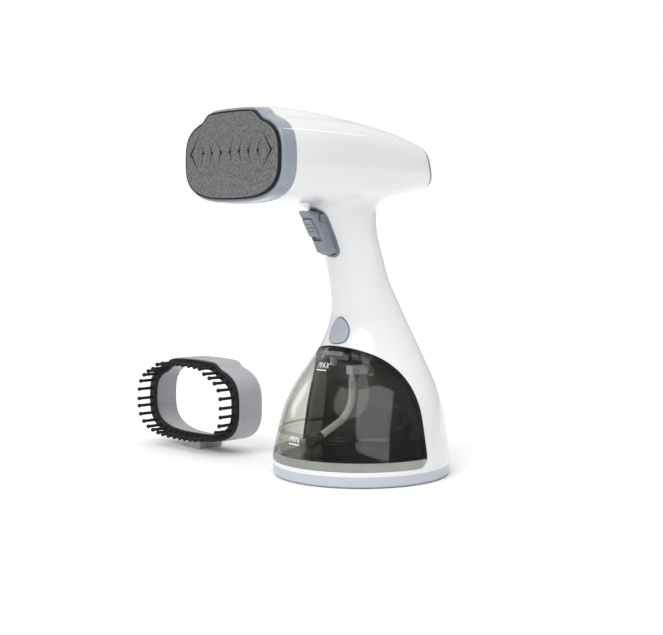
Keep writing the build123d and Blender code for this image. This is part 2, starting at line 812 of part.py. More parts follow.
with BuildPart() as bay_seal:
    add(arch_block(SEAL_WIDTH + GAP - 0.02, TANK_FLOOR - GAP + 0.02))
    add(arch_block(GAP, TANK_FLOOR - GAP - 10), mode=Mode.SUBTRACT)
    add(stem(0.25) - stem(WALL), mode=Mode.INTERSECT)
save(bay_seal, "bay_seal")

with BuildPart() as inlet_socket:
    with Locations(Location((0, 15.5, SOCKET_Z), (90, 0, 0))):
        Cylinder(5.9, 11)
    with Locations(Location((0, 22.9, SOCKET_Z), (90, 0, 0))):
        Cylinder(1.9, 5.8)
    with Locations(Location((0, 12, SOCKET_Z), (90, 0, 0))):
        Cylinder(4.22, 12, mode=Mode.SUBTRACT)
    with Locations(Location((0, 22, SOCKET_Z), (90, 0, 0))):
        Cylinder(1.1, 20, mode=Mode.SUBTRACT)
save(inlet_socket, "inlet_socket")

# ---------------------------------------------------------------- pump and hoses
PUMP_LOW = 22.6
PUMP_HIGH = 64.0
PUMP_HEAD = 82.0

with BuildPart() as pump_body:
    with Locations((0, PUMP_Y, (PUMP_HIGH + PUMP_HEAD) / 2)):
        Cylinder(7, PUMP_HEAD - PUMP_HIGH)
    with Locations((0, PUMP_Y, PUMP_HEAD + 3)):
        Cylinder(1.9, 6)
    with Locations((0, PUMP_Y, (PUMP_LOW + PUMP_HIGH) / 2)):
        Cylinder(5.5, PUMP_HIGH - PUMP_LOW)
    with Locations(Location((0, PUMP_Y - 8.4, SOCKET_Z), (90, 0, 0))):
        Cylinder(1.9, 4.8)
    with Locations((0, PUMP_Y, PUMP_LOW + 19.7)):
        Cylinder(4.05, 37.4, mode=Mode.SUBTRACT)
save(pump_body, "pump_body")

with BuildPart() as pump_coil:
    with Locations((0, PUMP_Y, 42)):
        Cylinder(PUMP_R - 1.2, 34)
        Cylinder(5.55, 40, mode=Mode.SUBTRACT)
save(pump_coil, "pump_coil")

with BuildPart() as pump_bracket:
    with Locations((0, PUMP_Y, 42)):
        Box(25, 24, 39)
        Box(22, 30, 35, mode=Mode.SUBTRACT)
        Cylinder(5.6, 60, mode=Mode.SUBTRACT)
    with Locations((0, PUMP_Y, 14)):
        Box(30, 16, 17)
        Box(27, 20, 13.6, mode=Mode.SUBTRACT)
save(pump_bracket, "pump_bracket")

with BuildPart() as pump_piston:
    with Locations((0, PUMP_Y, 44)):
        Cylinder(4.0, 24)
save(pump_piston, "pump_piston")

with BuildPart() as pump_spring:
    add(coil(Plane(origin=(0, PUMP_Y, 24.2), z_dir=(0, 0, 1)), 3.0, 0.45, 1.8, 7.2))
save(pump_spring, "pump_spring")

with BuildPart() as inlet_hose:
    with Locations(Location((0, 25.5, SOCKET_Z), (90, 0, 0))):
        Cylinder(3.2, 9)
        Cylinder(1.92, 12, mode=Mode.SUBTRACT)
save(inlet_hose, "inlet_hose")

HOSE_ROUTE = [
    (0, PUMP_Y, PUMP_HEAD + 0.5),
    (0, PUMP_Y, 94),
    (0, 23, 120),
    (0, 6, 152),
    (0, -3, 186),
    (0, -14, 216),
    (0, -38, 236),
    (0, -80, 236),
]
with BuildPart() as outlet_hose:
    add(hose(HOSE_ROUTE, [20, 60, 60, 60, 40, 30], 3.2, 1.95))
save(outlet_hose, "outlet_hose")

# ---------------------------------------------------------------- base
with BuildPart() as base_ring:
    with BuildSketch(Plane.XZ):
        with BuildLine():
            Polyline(
                (58.5, RING_FOOT),
                (BASE_R - 1.2, RING_FOOT),
                (BASE_R, RING_FOOT + 1.2),
                (BASE_R, BASE_TOP),
                (61.5, BASE_TOP),
                (61.5, 3.0),
                (58.5, 3.0),
                close=True,
            )
        make_face()
    revolve(axis=Axis.Z)
save(base_ring, "base_ring")

with BuildPart() as base_plate:
    with Locations((0, 0, 4.2)):
        Cylinder(61.0, 2.4)
    with Locations((0, 0, 2.5)):
        Cylinder(58.0, 1.0)
    with PolarLocations(POST_RING, 4, 45):
        Cylinder(1.65, 30, mode=Mode.SUBTRACT)
save(base_plate, "base_plate")

with BuildPart() as base_pad:
    with Locations((0, 0, 1.0)):
        Cylinder(PAD_R, 2.0)
    with PolarLocations(POST_RING, 4, 45):
        Cylinder(3.6, 30, mode=Mode.SUBTRACT)
    chamfer(base_pad.edges().filter_by(GeomType.CIRCLE).group_by(Axis.Z)[0], 0.4)
save(base_pad, "base_pad")

with BuildPart() as base_screws:
    with PolarLocations(POST_RING, 4, 45):
        with Locations((0, 0, 1.25)):
            Cylinder(3.0, 1.5)
        with Locations((0, 0, 5.7)):
            Cylinder(SCREW_R, 7.4)
save(base_screws, "base_screws")

with BuildPart() as cord_gland:
    with Locations(Location((0, 62, 20), (90, 0, 0))):
        Cylinder(5.1, 14)
    with Locations(Location((0, 66.9, 20), (90, 0, 0))):
        Cylinder(6.4, 3.0)
    with Locations(Location((0, 62, 20), (90, 0, 0))):
        Cylinder(3.0, 40, mode=Mode.SUBTRACT)
save(cord_gland, "cord_gland")

with BuildPart() as terminal_block:
    with Locations((38, 24.5, 10.5)):
        Box(20, 12, 10)
save(terminal_block, "terminal_block")

# ---------------------------------------------------------------- brush attachment
def brush_slab(inset, y_front, y_back):
    """A slab with the brush's outline, standing beside the steamer."""
    outline = head_outline(BRUSH_HALF, BRUSH_FOOT, BRUSH_FOOT + BRUSH_HEIGHT + 3.5, 3.5, inset, count=64)
    with BuildPart() as slab:
        with BuildSketch(Plane.XZ.offset(-y_back)):
            with BuildLine():
                Spline(*[(BRUSH_X + x, z) for x, z in outline], periodic=True)
            make_face()
        extrude(amount=y_back - y_front)
    return slab.part


BRUSH_FRONT = BRUSH_Y - BRUSH_DEPTH / 2
BRUSH_BACK = BRUSH_Y + BRUSH_DEPTH / 2

with BuildPart() as brush_frame:
    add(brush_slab(0.0, BRUSH_FRONT, BRUSH_BACK))
    add(brush_slab(2.2, BRUSH_FRONT - 5, BRUSH_BACK + 5), mode=Mode.SUBTRACT)
    with BuildSketch(Plane.XZ.offset(-BRUSH_BACK)):
        with BuildLine():
            Polyline(
                (BRUSH_X - 9, BRUSH_FOOT + 1.2),
                (BRUSH_X - 6, 0),
                (BRUSH_X + 6, 0),
                (BRUSH_X + 9, BRUSH_FOOT + 1.2),
                close=True,
            )
        make_face()
    extrude(amount=BRUSH_DEPTH)
save(brush_frame, "brush_frame")

with BuildPart() as brush_ring:
    add(brush_slab(0.6, BRUSH_FRONT - 3.4, BRUSH_FRONT))
    add(brush_slab(6.4, BRUSH_FRONT - 5, BRUSH_FRONT + 5), mode=Mode.SUBTRACT)
save(brush_ring, "brush_ring")

pin_path = head_outline(BRUSH_HALF, BRUSH_FOOT, BRUSH_FOOT + BRUSH_HEIGHT + 3.5, 3.5, 3.5, count=480)
loop = [hypot(b[0] - a[0], b[1] - a[1]) for a, b in zip(pin_path, pin_path[1:] + pin_path[:1])]
spots = []
walked = 0.0
for point, step in zip(pin_path, loop):
    if walked >= len(spots) * sum(loop) / PIN_COUNT:
        spots.append(point)
    walked += step

with BuildPart() as brush_pins:
    for x, z in spots:
        with Locations(Location((BRUSH_X + x, BRUSH_FRONT - 3.4 - PIN_LENGTH / 2, z), (90, 0, 0))):
            Cylinder(1.25, PIN_LENGTH)
        with Locations((BRUSH_X + x, BRUSH_FRONT - 3.4 - PIN_LENGTH, z)):
            Sphere(1.7)
save(brush_pins, "brush_pins")
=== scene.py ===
import json
import math

import bmesh
import bpy
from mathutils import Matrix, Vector
from mathutils.bvhtree import BVHTree


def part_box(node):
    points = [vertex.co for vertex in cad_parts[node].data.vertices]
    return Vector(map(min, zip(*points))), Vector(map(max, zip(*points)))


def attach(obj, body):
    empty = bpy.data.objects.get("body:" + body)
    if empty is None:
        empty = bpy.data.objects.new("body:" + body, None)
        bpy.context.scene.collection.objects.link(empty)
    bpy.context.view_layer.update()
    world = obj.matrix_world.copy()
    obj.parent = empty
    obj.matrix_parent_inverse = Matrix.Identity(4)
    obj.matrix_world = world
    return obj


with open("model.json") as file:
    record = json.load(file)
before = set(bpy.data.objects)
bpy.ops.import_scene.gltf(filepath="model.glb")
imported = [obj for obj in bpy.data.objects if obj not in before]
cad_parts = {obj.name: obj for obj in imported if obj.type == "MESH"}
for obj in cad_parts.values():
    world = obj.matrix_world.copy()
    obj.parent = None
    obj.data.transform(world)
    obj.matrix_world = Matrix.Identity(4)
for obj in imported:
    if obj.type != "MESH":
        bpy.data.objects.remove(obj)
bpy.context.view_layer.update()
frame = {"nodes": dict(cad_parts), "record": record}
nodes = frame["nodes"]

MM = 0.001


# ---------------------------------------------------------------- shader helpers
def new_material(name):
    """An empty node material: the material, its tree, its Principled shader and its output."""
    mat = bpy.data.materials.new(name)
    mat.use_nodes = True
    tree = mat.node_tree
    tree.nodes.clear()
    out = tree.nodes.new("ShaderNodeOutputMaterial")
    shader = tree.nodes.new("ShaderNodeBsdfPrincipled")
    tree.links.new(shader.outputs[0], out.inputs["Surface"])
    return mat, tree, shader, out


def noise(tree, scale, detail=3.0):
    """A noise texture in the object's own coordinates, with about scale features a metre."""
    where = tree.nodes.new("ShaderNodeTexCoord")
    texture = tree.nodes.new("ShaderNodeTexNoise")
    texture.inputs["Scale"].default_value = scale
    texture.inputs["Detail"].default_value = detail
    tree.links.new(where.outputs["Object"], texture.inputs["Vector"])
    return texture.outputs["Fac"]


def remap(tree, value, low, high, from_low=0.3, from_high=0.7):
    """value, stretched to run from low to high."""
    node = tree.nodes.new("ShaderNodeMapRange")
    node.inputs["From Min"].default_value = from_low
    node.inputs["From Max"].default_value = from_high
    node.inputs["To Min"].default_value = low
    node.inputs["To Max"].default_value = high
    tree.links.new(value, node.inputs["Value"])
    return node.outputs["Result"]


def two_colours(tree, value, first, second, from_low=0.35, from_high=0.65):
    """A colour that goes from first to second with value."""
    ramp = tree.nodes.new("ShaderNodeValToRGB")
    ramp.color_ramp.elements[0].position = from_low
    ramp.color_ramp.elements[0].color = (*first, 1)
    ramp.color_ramp.elements[1].position = from_high
    ramp.color_ramp.elements[1].color = (*second, 1)
    tree.links.new(value, ramp.inputs["Fac"])
    return ramp.outputs["Color"]


def bump(tree, shader, height, depth):
    """Fine relief of about depth metres."""
    node = tree.nodes.new("ShaderNodeBump")
    node.inputs["Distance"].default_value = depth
    node.inputs["Strength"].default_value = 1.0
    tree.links.new(height, node.inputs["Height"])
    tree.links.new(node.outputs["Normal"], shader.inputs["Normal"])


def tinted(colour, factor):
    """colour made darker or lighter by factor, and at most white."""
    return tuple(min(1.0, c * factor) for c in colour)


def facing_share(tree, power, face_on, edge_on):
    """A share that goes from face_on, where a surface is seen square on, to edge_on at its rim."""
    weight = tree.nodes.new("ShaderNodeLayerWeight")
    weight.inputs["Blend"].default_value = 0.5
    steep = tree.nodes.new("ShaderNodeMath")
    steep.operation = "POWER"
    steep.inputs[1].default_value = power
    tree.links.new(weight.outputs["Facing"], steep.inputs[0])
    return remap(tree, steep.outputs[0], face_on, edge_on, 0.0, 1.0)


def height_share(tree, z_none, z_full, full):
    """A share that goes from 0 at height z_none to full at height z_full."""
    where = tree.nodes.new("ShaderNodeTexCoord")
    split = tree.nodes.new("ShaderNodeSeparateXYZ")
    tree.links.new(where.outputs["Object"], split.inputs[0])
    return remap(tree, split.outputs["Z"], 0.0, full, z_none, z_full)


def rim_share(tree, r_none, r_full):
    """A share that goes from 0 at r_none from the vertical axis to 1 at r_full."""
    where = tree.nodes.new("ShaderNodeTexCoord")
    flat = tree.nodes.new("ShaderNodeVectorMath")
    flat.operation = "MULTIPLY"
    flat.inputs[1].default_value = (1, 1, 0)
    tree.links.new(where.outputs["Object"], flat.inputs[0])
    length = tree.nodes.new("ShaderNodeVectorMath")
    length.operation = "LENGTH"
    tree.links.new(flat.outputs[0], length.inputs[0])
    return remap(tree, length.outputs["Value"], 0.0, 1.0, r_none, r_full)


def product(tree, first, second):
    """One share times another."""
    node = tree.nodes.new("ShaderNodeMath")
    node.operation = "MULTIPLY"
    tree.links.new(first, node.inputs[0])
    tree.links.new(second, node.inputs[1])
    return node.outputs[0]


def blended(tree, share, first, second):
    """A shader output that goes from first to second with share."""
    mix = tree.nodes.new("ShaderNodeMixShader")
    tree.links.new(share, mix.inputs["Fac"])
    tree.links.new(first, mix.inputs[1])
    tree.links.new(second, mix.inputs[2])
    return mix.outputs[0]


# ---------------------------------------------------------------- kinds of material
def moulded(name, colour, rough, coat=0.0, grain=900.0, depth=4e-6, drift=0.04, shine=0.5):
    """Injection-moulded plastic: faint colour drift, uneven gloss and a fine moulded grain."""
    mat, tree, shader, _ = new_material(name)
    darker, lighter = tinted(colour, 1 - drift), tinted(colour, 1 + drift)
    tree.links.new(two_colours(tree, noise(tree, 22.0), darker, lighter), shader.inputs["Base Color"])
    tree.links.new(remap(tree, noise(tree, 60.0), rough * 0.85, rough * 1.2), shader.inputs["Roughness"])
    bump(tree, shader, noise(tree, grain, 2.0), depth)
    shader.inputs["Coat Weight"].default_value = coat
    shader.inputs["Coat Roughness"].default_value = 0.04
    shader.inputs["Specular IOR Level"].default_value = shine
    return mat


def rubber(name, colour):
    """Matt rubber with a fine skin."""
    return moulded(name, colour, 0.6, grain=1600.0, depth=8e-6, drift=0.15, shine=0.22)


def metal(name, colour, rough):
    """Plain metal with an uneven finish."""
    mat, tree, shader, _ = new_material(name)
    uneven = two_colours(tree, noise(tree, 35.0), tinted(colour, 0.92), colour)
    tree.links.new(uneven, shader.inputs["Base Color"])
    shader.inputs["Metallic"].default_value = 1.0
    tree.links.new(remap(tree, noise(tree, 80.0), rough * 0.7, rough * 1.3), shader.inputs["Roughness"])
    bump(tree, shader, noise(tree, 400.0, 2.0), 6e-6)
    return mat


def coated_plate(name):
    """Dark ceramic coating full of fine light specks."""
    mat, tree, shader, _ = new_material(name)
    speck = noise(tree, 1750.0, 1.5)
    dark, light = (0.075, 0.075, 0.077), (0.215, 0.215, 0.22)
    tree.links.new(two_colours(tree, speck, dark, light, 0.40, 0.64), shader.inputs["Base Color"])
    tree.links.new(remap(tree, speck, 0.55, 0.38), shader.inputs["Roughness"])
    shader.inputs["Metallic"].default_value = 0.25
    bump(tree, shader, noise(tree, 1100.0, 2.0), 2.5e-5)
    return mat


# How much the tank mirrors where it is seen square on, and at its rim
MIRROR_FACE_ON = 0.012
MIRROR_EDGE_ON = 0.75
# Painted light in the thick slab round the tank's floor, a paler colour that stands in for the light
# gathered there: how deep and how wide it fades in, and how much it covers
SLAB_GLOW_FADE = 0.4 * MM
SLAB_GLOW_COVER = 0.62
SLAB_GLOW_INNER = 62.4 * MM
SLAB_GLOW_OUTER = 63.2 * MM


def smoked(name, tint, floor_top=None):
    """Clear tinted plastic: it passes tinted light and mirrors more towards its rim.
    Below floor_top, its outer edge is a thick slab with painted light: a paler colour stands in for the
    light gathered in it."""
    mat, tree, shader, out = new_material(name)
    clear = tree.nodes.new("ShaderNodeBsdfTransparent")
    drifting = two_colours(tree, noise(tree, 14.0), tinted(tint, 0.975), tinted(tint, 1.02))
    tree.links.new(drifting, clear.inputs["Color"])
    shader.inputs["Base Color"].default_value = (0.95, 0.95, 0.95, 1)
    shader.inputs["Metallic"].default_value = 1.0
    tree.links.new(remap(tree, noise(tree, 50.0), 0.02, 0.04), shader.inputs["Roughness"])
    bump(tree, shader, noise(tree, 30.0, 1.0), 2e-6)
    mirror = facing_share(tree, 4.0, MIRROR_FACE_ON, MIRROR_EDGE_ON)
    surface = blended(tree, mirror, clear.outputs[0], shader.outputs[0])
    if floor_top:
        # Painted light: the thick floor slab gets a paler colour, mixed in by height and by distance from
        # the axis.
        slab_glow = tree.nodes.new("ShaderNodeBsdfPrincipled")
        pale = two_colours(tree, noise(tree, 40.0), (0.26, 0.265, 0.25), (0.31, 0.315, 0.295))
        tree.links.new(pale, slab_glow.inputs["Base Color"])
        slab_glow.inputs["Roughness"].default_value = 0.12
        below = height_share(tree, floor_top, floor_top - SLAB_GLOW_FADE, SLAB_GLOW_COVER)
        share = product(tree, below, rim_share(tree, SLAB_GLOW_INNER, SLAB_GLOW_OUTER))
        surface = blended(tree, share, surface, slab_glow.outputs[0])
    tree.links.new(surface, out.inputs["Surface"])
    return mat


def clear_tube(name, colour):
    """Translucent hose: see-through in the middle, milky and bright along its edges."""
    mat, tree, shader, out = new_material(name)
    clear = tree.nodes.new("ShaderNodeBsdfTransparent")
    clear.inputs["Color"].default_value = (0.93, 0.94, 0.93, 1)
    milky = two_colours(tree, noise(tree, 120.0), tinted(colour, 0.94), colour)
    tree.links.new(milky, shader.inputs["Base Color"])
    tree.links.new(remap(tree, noise(tree, 200.0), 0.1, 0.2), shader.inputs["Roughness"])
    edges = facing_share(tree, 1.8, 0.22, 1.0)
    tree.links.new(blended(tree, edges, clear.outputs[0], shader.outputs[0]), out.inputs["Surface"])
    return mat


# ---------------------------------------------------------------- the materials
SATIN_GRAIN = 1400.0
SMOKE = (0.875, 0.875, 0.85)
TANK_FLOOR_TOP = 17.8 * MM

MATERIALS = {
    "white_plastic": moulded(
        "white gloss plastic", (0.75, 0.755, 0.765), 0.2, coat=0.35, depth=1.5e-6, drift=0.004
    ),
    "grey_plastic": moulded(
        "blue grey plastic", (0.255, 0.285, 0.335), 0.28, coat=0.4, grain=SATIN_GRAIN, drift=0.012
    ),
    "dark_grey_plastic": moulded(
        "dark blue grey plastic", (0.17, 0.19, 0.225), 0.34, coat=0.1, grain=SATIN_GRAIN, drift=0.015
    ),
    "coated_plate": coated_plate("speckled ceramic coating"),
    "black_rubber": rubber("black rubber", (0.012, 0.012, 0.014)),
    "clear_silicone": clear_tube("clear silicone", (0.86, 0.87, 0.86)),
    "cast_aluminium": metal("cast aluminium", (0.62, 0.63, 0.64), 0.45),
    "bright_steel": metal("plated steel", (0.60, 0.60, 0.61), 0.25),
    "brass": metal("brass", (0.70, 0.53, 0.26), 0.3),
    "black_plastic": moulded(
        "black plastic", (0.014, 0.014, 0.014), 0.42, grain=1200.0, depth=6e-6, drift=0.1
    ),
    "white_nylon": moulded("natural nylon", (0.62, 0.66, 0.70), 0.3, depth=3e-6),
    "copper_coil": metal("enamelled copper", (0.55, 0.25, 0.12), 0.35),
    "circuit_board": moulded("green solder mask", (0.03, 0.20, 0.08), 0.35),
    "smoked_tank": smoked("smoked tank plastic", SMOKE),
    "indicator_lens": moulded("amber lens", (0.75, 0.25, 0.08), 0.1),
    "brush_grey": moulded(
        "metallic grey plastic", (0.36, 0.36, 0.385), 0.28, coat=0.2, grain=1800.0, drift=0.02
    ),
}
# Nodes that don't look quite like the rest of their slot
NODE_MATERIALS = {
    "base_ring": moulded(
        "pale blue grey plastic", (0.46, 0.49, 0.54), 0.3, coat=0.15, grain=SATIN_GRAIN, drift=0.01
    ),
    "trigger": moulded(
        "trigger plastic", (0.205, 0.23, 0.265), 0.3, coat=0.2, grain=SATIN_GRAIN, drift=0.012
    ),
    "trigger_lock": moulded(
        "trigger slider plastic", (0.225, 0.25, 0.285), 0.3, coat=0.2, grain=SATIN_GRAIN, drift=0.012
    ),
    "release_button": moulded(
        "button plastic", (0.37, 0.41, 0.46), 0.14, coat=0.7, grain=SATIN_GRAIN, depth=1e-6, drift=0.01
    ),
    "bay_liner": moulded(
        "matt black liner", (0.009, 0.009, 0.009), 0.6, grain=1200.0, depth=6e-6, drift=0.1, shine=0.12
    ),
    # The pan's floor slab carries painted light.
    "tank_pan": smoked("smoked tank pan plastic with painted slab light", SMOKE, floor_top=TANK_FLOOR_TOP),
}
for entry in frame["record"]["subparts"]:
    node = nodes[entry["node"]]
    node.data.materials.clear()
    node.data.materials.append(NODE_MATERIALS.get(entry["node"], MATERIALS[entry["material_slot"]]))


# ---------------------------------------------------------------- mesh helpers
def skin_of(*names):
    """The surface of some CAD nodes, to cast rays on."""
    points, faces = [], []
    for name in names:
        mesh = nodes[name].data
        start = len(points)
        points.extend(vertex.co.copy() for vertex in mesh.vertices)
        faces.extend([start + index for index in face.vertices] for face in mesh.polygons)
    return BVHTree.FromPolygons(points, faces)


def add_piece(name, data, body, material):
    """A new object from mesh or curve data, riding on a body."""
    piece = bpy.data.objects.new(name, data)
    bpy.context.scene.collection.objects.link(piece)
    data.materials.append(material)
    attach(piece, body)


def mesh_from(name, grid):
    """A mesh from a bmesh, with its faces turned outwards."""
    mesh = bpy.data.meshes.new(name)
    bmesh.ops.recalc_face_normals(grid, faces=grid.faces)
    grid.to_mesh(mesh)
    grid.free()
    return mesh


TIP_SHARE = 0.15
TAPER_RATE = 6.0


def tube_along(name, path, radius, closed=False, taper=False):
    """A round bead through the points of path. A tapered one is thin at both ends."""
    curve = bpy.data.curves.new(name, "CURVE")
    curve.dimensions = "3D"
    curve.bevel_depth = radius
    curve.bevel_resolution = 4
    curve.use_fill_caps = True
    spline = curve.splines.new("POLY")
    last = len(path) - 1
    spline.points.add(last)
    for index, point in enumerate(path):
        spline.points[index].co = (*point, 1)
        if taper:
            from_end = min(index, last - index) / last
            spline.points[index].radius = min(1.0, TIP_SHARE + TAPER_RATE * from_end)
    spline.use_cyclic_u = closed
    return curve


# ---------------------------------------------------------------- level marks on the tank
MARK_THICK = 0.12 * MM
MARK_RAISE = 0.55 * MARK_THICK
MARK_WHITE = moulded("white level mark", (0.85, 0.85, 0.84), 0.4, drift=0.01)
CAPITAL_SHARE = 0.69  # a capital's height over the font's size
LETTER_SPACING = 1.1
UNDERLINE_HALF = 0.35 * MM
UNDERLINE_STEPS = 16
OUTSIDE = 0.3  # a distance from the axis that is outside the object, in metres


def letter_grid(name, word, height):
    """A word as flat letters MARK_THICK deep, centred on X and standing on Y = 0."""
    curve = bpy.data.curves.new(name + "_letters", "FONT")
    curve.body = word
    curve.align_x = "CENTER"
    curve.size = height / CAPITAL_SHARE
    curve.space_character = LETTER_SPACING
    curve.extrude = 0.5 * MARK_THICK
    letters = bpy.data.objects.new(name + "_letters", curve)
    flat = bpy.data.meshes.new_from_object(letters)
    bpy.data.objects.remove(letters)
    grid = bmesh.new()
    grid.from_mesh(flat)
    bpy.data.meshes.remove(flat)
    return grid


def add_underline(grid, width, drop):
    """A bar whose middle is drop below Y = 0, in short steps so that it can bend."""
    layers = []
    for z in (-0.5 * MARK_THICK, 0.5 * MARK_THICK):
        rows = []
        for y in (-drop - UNDERLINE_HALF, -drop + UNDERLINE_HALF):
            places = [(k / UNDERLINE_STEPS - 0.5) * width for k in range(UNDERLINE_STEPS + 1)]
            rows.append([grid.verts.new((x, y, z)) for x in places])
        for k in range(UNDERLINE_STEPS):
            grid.faces.new((rows[0][k], rows[0][k + 1], rows[1][k + 1], rows[1][k]))
        layers.append(rows)
    under, over = layers
    for row, below in zip(over, under):
        for k in range(UNDERLINE_STEPS):
            grid.faces.new((row[k], row[k + 1], below[k + 1], below[k]))
    for k in (0, UNDERLINE_STEPS):
        grid.faces.new((over[0][k], over[1][k], under[1][k], under[0][k]))


def outward(turn):
    """The level direction away from the axis, at an angle in radians from the front."""
    return Vector((math.sin(turn), -math.cos(turn), 0))


def outer_point(skin, turn, z):
    """Where skin is met from outside, at an angle from the front and a height."""
    out = outward(turn)
    return skin.ray_cast(out * OUTSIDE + Vector((0, 0, z)), -out)[0]


def level_mark(name, word, azimuth, z_foot, letter_height, line_width, line_gap):
    """A moulded level mark: a word with a line under it, wrapped round the tank."""
    grid = letter_grid(name, word, letter_height)
    add_underline(grid, line_width, line_gap)
    skin = skin_of("tank_shell", "tank_pan")
    middle = math.radians(azimuth)
    for vertex in grid.verts:
        z = z_foot + vertex.co.y
        centre = outer_point(skin, middle, z)
        turn = middle + vertex.co.x / math.hypot(centre.x, centre.y)
        vertex.co = outer_point(skin, turn, z) + outward(turn) * (vertex.co.z + MARK_RAISE)
    add_piece(name, mesh_from(name, grid), "tank", MARK_WHITE)


level_mark("max_mark", "MAX", -3.0, 79.6 * MM, 3.7 * MM, 10.5 * MM, 1.5 * MM)
level_mark("min_mark", "MIN", -5.0, 28.6 * MM, 3.8 * MM, 11.0 * MM, 1.6 * MM)

# ---------------------------------------------------------------- raised lines along the head, with a painted highlight
HEAD_LINE_Z = 244.5 * MM
HEAD_LINE_START = 2.0 * MM  # behind the bezel's front
HEAD_LINE_BACK = -27.4 * MM
HEAD_LINE_RADIUS = 0.42 * MM
HEAD_LINE_RAISE = 0.05 * MM
HEAD_LINE_STEPS = 48
BESIDE = 0.2  # a distance to one side that is outside the object, in metres


def make_head_highlight_lines():
    """A thin raised bead along each side of the head, with a painted highlight: whiter than the housing
    and glowing a little.
    """
    highlight_bead = moulded("white bead with painted highlight", (0.93, 0.93, 0.94), 0.12, coat=0.6, depth=1e-6, drift=0.004)
    shader = highlight_bead.node_tree.nodes["Principled BSDF"]
    # Painted highlight: the bead glows, standing in for a reflection along the head's crease.
    shader.inputs["Emission Color"].default_value = (1, 1, 1, 1)
    shader.inputs["Emission Strength"].default_value = 0.12
    skin = skin_of("head_left", "head_right", "front_bezel")
    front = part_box("front_bezel")[0][1] + HEAD_LINE_START
    for side, label in ((-1, "left"), (1, "right")):
        sideways = Vector((side, 0, 0))
        path = []
        for k in range(HEAD_LINE_STEPS + 1):
            y = front + (HEAD_LINE_BACK - front) * k / HEAD_LINE_STEPS
            hit = skin.ray_cast(Vector((side * BESIDE, y, HEAD_LINE_Z)), -sideways)[0]
            path.append(hit + sideways * HEAD_LINE_RAISE)
        name = "head_line_" + label
        line = tube_along(name, path, HEAD_LINE_RADIUS, taper=True)
        add_piece(name, line, "steamer", highlight_bead)


make_head_highlight_lines()

# ---------------------------------------------------------------- painted shadow line round the button
BUTTON_LINE_RADIUS = 0.36 * MM
BUTTON_LINE_GAP = 0.25 * MM
BUTTON_LINE_SINK = 0.02 * MM
BUTTON_LINE_STEPS = 72
BUTTON_REACH = 30 * MM  # further out than the button's edge
EDGE_WITHIN = 0.02 * MM
HANDLE_BESIDE = 0.8 * MM  # where the handle's skin is measured, outside the line
BEFORE = -0.1  # a Y in front of the handle, in metres


def handle_hit(skin, x, z):
    """Where skin is met from the front, if it is met before the axis."""
    return skin.ray_cast(Vector((x, BEFORE, z)), Vector((0, 1, 0)), -BEFORE)[0]


def make_button_painted_shadow():
    """Painted shadow: a dark line in the gap between the release button and the handle, where the gap's
    shade falls.
    """
    button = skin_of("release_button")
    handle = skin_of("housing_left", "housing_right", "release_button")
    low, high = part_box("release_button")
    middle = 0.5 * (low[2] + high[2])
    path = []
    for k in range(BUTTON_LINE_STEPS):
        turn = 2 * math.pi * k / BUTTON_LINE_STEPS
        across, up = math.cos(turn), math.sin(turn)
        inside, outside = 0.0, BUTTON_REACH
        while outside - inside > EDGE_WITHIN:
            reach = 0.5 * (inside + outside)
            if handle_hit(button, reach * across, middle + reach * up):
                inside = reach
            else:
                outside = reach
        reach = inside + BUTTON_LINE_GAP
        beside = reach + HANDLE_BESIDE
        hit = handle_hit(handle, beside * across, middle + beside * up)
        path.append(Vector((reach * across, hit.y - BUTTON_LINE_SINK, middle + reach * up)))
    # Painted shadow: a dark colour standing in for the shade in the narrow gap.
    dark = moulded("painted gap shadow", (0.05, 0.055, 0.065), 0.5, grain=SATIN_GRAIN, drift=0.05, shine=0.3)
    line = tube_along("button_line", path, BUTTON_LINE_RADIUS, closed=True)
    add_piece("button_line", line, "steamer", dark)


make_button_painted_shadow()

# ---------------------------------------------------------------- painted shade in the groove bottoms
HOLES_OVER_MIDDLE = 2.0 * MM
HOLE_PITCH = 9.6 * MM
HOLES_EACH_SIDE = 3
GROOVE_INNER, GROOVE_OUTER = -0.5 * MM, 0.7 * MM  # its foot, from the hole's middle
GROOVE_LEAN = 3.4 * MM
GROOVE_RISE = 10.0 * MM
END_INNER, END_OUTER = 41.2 * MM, 43.6 * MM
END_TIP = 32.5 * MM
END_RISE = 13.5 * MM
GROOVE_SHADE_TOP, GROOVE_SHADE_BOTTOM = 0.16 * MM, 0.5 * MM  # depths behind the plate's front


def groove_outlines():
    """Triangles, seen from the front, for the grooves above and below the holes and at both ends."""
    outlines = []
    for step in range(-HOLES_EACH_SIDE, HOLES_EACH_SIDE + 1):
        side = 1 if step >= 0 else -1
        foot = step * HOLE_PITCH
        for rise in (GROOVE_RISE, -GROOVE_RISE):
            tip = (foot + side * GROOVE_LEAN, rise)
            outlines.append([(foot + GROOVE_INNER, 0), tip, (foot + GROOVE_OUTER, 0)])
    for side in (-1, 1):
        for rise in (END_RISE, -END_RISE):
            outlines.append([(side * END_OUTER, 0), (side * END_TIP, rise), (side * END_INNER, 0)])
    return outlines


